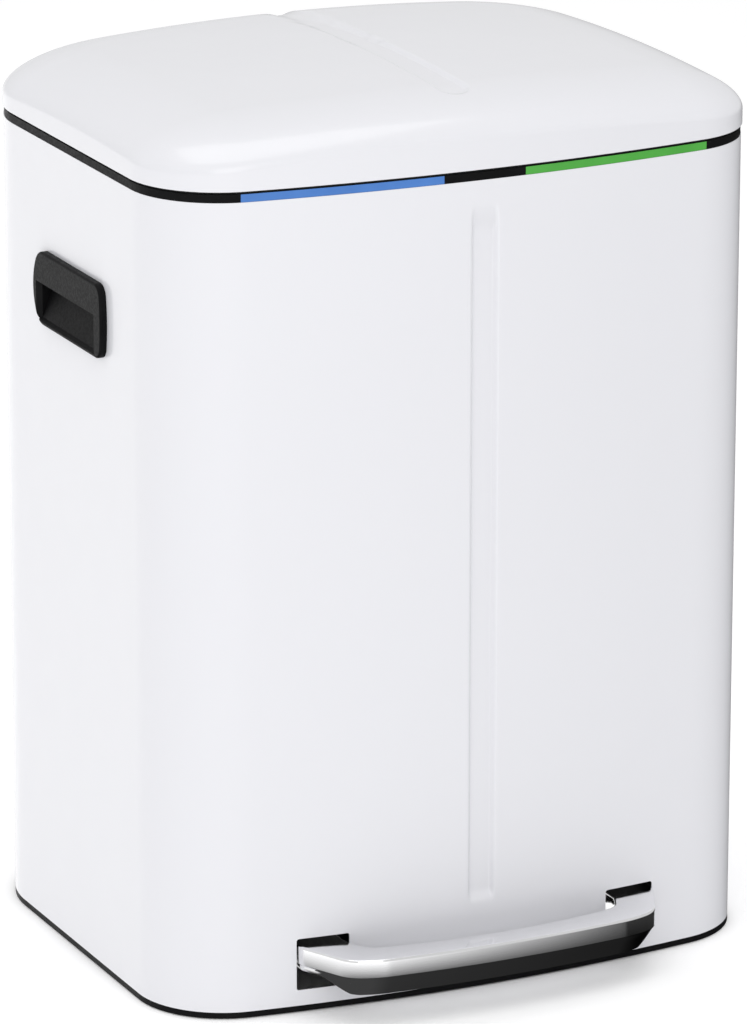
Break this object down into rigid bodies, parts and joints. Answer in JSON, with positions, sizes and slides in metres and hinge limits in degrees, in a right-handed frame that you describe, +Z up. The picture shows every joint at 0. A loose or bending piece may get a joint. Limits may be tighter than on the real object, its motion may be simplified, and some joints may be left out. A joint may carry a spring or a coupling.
{
  "type": "pedal bin",
  "caption": "Free-standing pedal bin: painted steel body with bowed front, hinged domed lid, U-shaped foot pedal, side grips and two lift-out inner buckets.",
  "frame": {"origin": "middle of the footprint box, on the floor", "axes": "+Z up, the pedal and the bowed front face -Y, +X to the right of someone facing the front"},
  "size_m": [0.4566, 0.4324, 0.6257],
  "materials": {
    "white_paint": "gloss",
    "black_plastic": "satin",
    "rubber": "matte",
    "chrome": "polished",
    "blue_plastic": "satin",
    "green_plastic": "satin",
    "steel": "zinc plated",
    "bucket_plastic": "satin"
  },
  "bodies": {
    "housing": {"body_shell": "white_paint", "base_ring": "black_plastic", "floor_plate": "black_plastic", "axle_blocks": "black_plastic", "feet": "rubber", "rim_ring": "black_plastic", "strip_blue": "blue_plastic", "strip_green": "green_plastic", "grip_left": "black_plastic", "grip_right": "black_plastic", "hinge_bracket": "black_plastic", "hinge_pin": "steel", "hinge_cover": "black_plastic", "bracket_screws": "steel", "damper_body": "steel", "rod_guides": "black_plastic", "damper_clips": "black_plastic", "rod_cover": "steel", "pedal_axle": "steel", "axle_clips": "steel", "axle_spacers": "black_plastic"},
    "lid": {"lid_skin": "white_paint", "lid_liner": "black_plastic", "lid_seal": "rubber", "lid_hinge": "steel", "lid_screws": "steel"},
    "pedal": {"pedal_bar": "chrome", "pedal_lever": "steel", "pedal_screws": "steel"},
    "lift_rod_body": {"lift_rod": "steel", "crank_pin": "steel", "damper_piston": "steel", "rod_collar": "steel"},
    "bucket_left_body": {"bucket_left": "bucket_plastic"},
    "bucket_right_body": {"bucket_right": "bucket_plastic"},
    "bail_left_body": {"bail_left": "steel"},
    "bail_right_body": {"bail_right": "steel"}
  },
  "joints": [
    {"name": "lid_open", "type": "hinge", "parent": "housing", "child": "lid", "pos_m": [0, 0.2062, 0.568], "axis": [-1, 0, 0], "range_deg": [0, 75]},
    {"name": "pedal_press", "type": "hinge", "parent": "housing", "child": "pedal", "pos_m": [0, -0.0254, 0.03], "axis": [1, 0, 0], "range_deg": [0, 5.62]},
    {"name": "rod_lift", "type": "slide", "parent": "housing", "child": "lift_rod_body", "axis": [0, 0, 1], "range_m": [0, 0.0213]},
    {"name": "bucket_left_lift", "type": "slide", "parent": "housing", "child": "bucket_left_body", "axis": [0, 0, 1], "range_m": [0, 0.012]},
    {"name": "bucket_right_lift", "type": "slide", "parent": "housing", "child": "bucket_right_body", "axis": [0, 0, 1], "range_m": [0, 0.012]},
    {"name": "bail_left_swing", "type": "hinge", "parent": "bucket_left_body", "child": "bail_left_body", "pos_m": [-0.1, 0.0162, 0.559], "axis": [1, 0, 0], "range_deg": [0, 8]},
    {"name": "bail_right_swing", "type": "hinge", "parent": "bucket_right_body", "child": "bail_right_body", "pos_m": [0.1, 0.0162, 0.559], "axis": [1, 0, 0], "range_deg": [0, 8]}
  ],
  "couplings": [
    {"joint": "pedal_press", "follows": "lid_open", "ratio": 0.074861},
    {"joint": "rod_lift", "follows": "lid_open", "m_per_rad": 0.016273}
  ]
}
